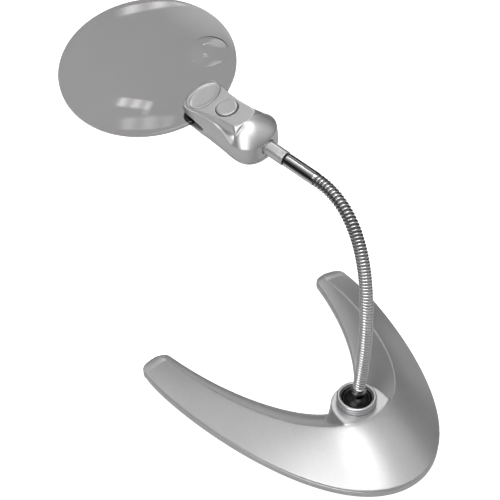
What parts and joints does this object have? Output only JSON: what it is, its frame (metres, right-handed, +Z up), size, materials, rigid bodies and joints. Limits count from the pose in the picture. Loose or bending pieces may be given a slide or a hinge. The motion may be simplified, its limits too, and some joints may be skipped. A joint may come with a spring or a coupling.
{
  "type": "low vision magnifier",
  "caption": "Free-standing reading magnifier: rimless round lens with a lit head on a bendable gooseneck, ball-jointed to a weighted crescent base.",
  "frame": {"origin": "on the table, straight under the centre of the stem's ball joint, at the flat underside of the middle foot", "axes": "+Z up; -Y towards the crescent's apex; +Y towards the arm tips and the lens; +X towards the arm on the lens insert's side"},
  "size_m": [0.1701, 0.2765, 0.2093],
  "materials": {
    "silver_paint": "satin metallic silver paint",
    "head_plastic": "satin silver-painted plastic",
    "button_plastic": "satin silver-painted plastic",
    "chrome": "polished chrome plate",
    "satin_metal": "satin",
    "ballast_steel": "raw, blackened",
    "fastener_steel": "zinc plated",
    "black_plastic": "gloss",
    "foot_rubber": "matt",
    "lens_acrylic": "clear polished acrylic",
    "circuit_board": "solder mask",
    "contact_brass": "plated",
    "cell_steel": "nickel plated",
    "led_epoxy": "clear epoxy"
  },
  "bodies": {
    "base": {"base_cover": "silver_paint", "base_plate": "silver_paint", "base_weight": "ballast_steel", "base_screw_1": "fastener_steel", "base_screw_2": "fastener_steel", "base_screw_3": "fastener_steel", "base_screw_4": "fastener_steel", "foot_stem": "foot_rubber", "foot_front": "foot_rubber", "foot_left": "foot_rubber", "foot_right": "foot_rubber", "collar_ring": "satin_metal", "friction_washer": "fastener_steel"},
    "ball_swivel": {"ball_seat": "black_plastic"},
    "stem": {"pivot_ball": "black_plastic", "stem_stud": "fastener_steel", "lower_ferrule": "chrome", "neck_section_1": "chrome"},
    "neck_2": {"neck_section_2": "chrome"},
    "neck_3": {"neck_section_3": "chrome"},
    "neck_4": {"neck_section_4": "chrome"},
    "neck_5": {"neck_section_5": "chrome"},
    "neck_6": {"neck_section_6": "chrome"},
    "neck_7": {"neck_section_7": "chrome"},
    "neck_top": {"neck_section_8": "chrome", "upper_ferrule": "chrome", "roll_spindle": "fastener_steel", "roll_washer": "black_plastic", "roll_clip": "fastener_steel"},
    "head": {"head_upper_shell": "head_plastic", "head_lower_shell": "head_plastic", "accent_inlay": "head_plastic", "neck_sleeve": "head_plastic", "main_lens": "lens_acrylic", "lens_screw_1": "fastener_steel", "lens_screw_2": "fastener_steel", "head_screw_1": "fastener_steel", "head_screw_2": "fastener_steel", "head_screw_3": "fastener_steel", "head_screw_4": "fastener_steel", "led_left": "led_epoxy", "led_right": "led_epoxy", "coin_cell_1": "cell_steel", "coin_cell_2": "cell_steel", "contact_top": "contact_brass", "contact_side": "contact_brass", "circuit_board": "circuit_board", "push_switch": "black_plastic"},
    "power_button": {"power_button": "button_plastic"},
    "battery_door": {"battery_door": "head_plastic"}
  },
  "joints": [
    {"name": "ball_swivel_turn", "type": "hinge", "parent": "base", "child": "ball_swivel", "pos_m": [0, 0, 0.0242], "axis": [0, 0, 1], "continuous": true},
    {"name": "ball_tilt", "type": "hinge", "parent": "ball_swivel", "child": "stem", "pos_m": [0, 0, 0.0242], "axis": [-0.9815, -0.1912, 0], "range_deg": [-15, 20]},
    {"name": "neck_bend_1", "type": "hinge", "parent": "stem", "child": "neck_2", "pos_m": [0.00052, -0.00249, 0.0609], "axis": [0.9815, 0.1913, -0.0024], "range_deg": [-12, 18]},
    {"name": "neck_side_1", "type": "hinge", "parent": "neck_2", "child": "neck_3", "pos_m": [0.00066, -0.00292, 0.07999], "axis": [0.1912, -0.9815, -0.0022], "range_deg": [-15, 15]},
    {"name": "neck_bend_2", "type": "hinge", "parent": "neck_3", "child": "neck_4", "pos_m": [0.00067, -0.00246, 0.09908], "axis": [0.9816, 0.1909, -0.0059], "range_deg": [-12, 18]},
    {"name": "neck_side_2", "type": "hinge", "parent": "neck_4", "child": "neck_5", "pos_m": [0.00047, -0.00075, 0.11809], "axis": [0.1895, -0.973, 0.132], "range_deg": [-15, 15]},
    {"name": "neck_bend_3", "type": "hinge", "parent": "neck_5", "child": "neck_6", "pos_m": [-0.00007, 0.00282, 0.13683], "axis": [0.9819, 0.1892, -0.0077], "range_deg": [-12, 18]},
    {"name": "neck_side_3", "type": "hinge", "parent": "neck_6", "child": "neck_7", "pos_m": [-0.00121, 0.0094, 0.15468], "axis": [0.1695, -0.87, 0.4631], "range_deg": [-15, 15]},
    {"name": "neck_bend_4", "type": "hinge", "parent": "neck_7", "child": "neck_top", "pos_m": [-0.00342, 0.02097, 0.16953], "axis": [0.9811, 0.1935, 0.0018], "range_deg": [-12, 18]},
    {"name": "head_roll", "type": "hinge", "parent": "neck_top", "child": "head", "pos_m": [-0.01179, 0.06052, 0.17965], "axis": [-0.2086, 0.9702, 0.1232], "range_deg": [-90, 90]},
    {"name": "power_button_press", "type": "slide", "parent": "head", "child": "power_button", "axis": [0.25, 0.0188, -0.9681], "range_m": [0, 0.0008], "stiffness_N_per_m": 400},
    {"name": "battery_door_swing", "type": "hinge", "parent": "head", "child": "battery_door", "pos_m": [-0.01937, 0.10557, 0.17732], "axis": [0.9528, 0.1732, 0.2495], "range_deg": [0, 80]}
  ],
  "couplings": [
    {"joint": "neck_bend_2", "follows": "neck_bend_1", "ratio": 1},
    {"joint": "neck_side_2", "follows": "neck_side_1", "ratio": 1},
    {"joint": "neck_bend_3", "follows": "neck_bend_1", "ratio": 1},
    {"joint": "neck_bend_4", "follows": "neck_bend_1", "ratio": 1}
  ]
}
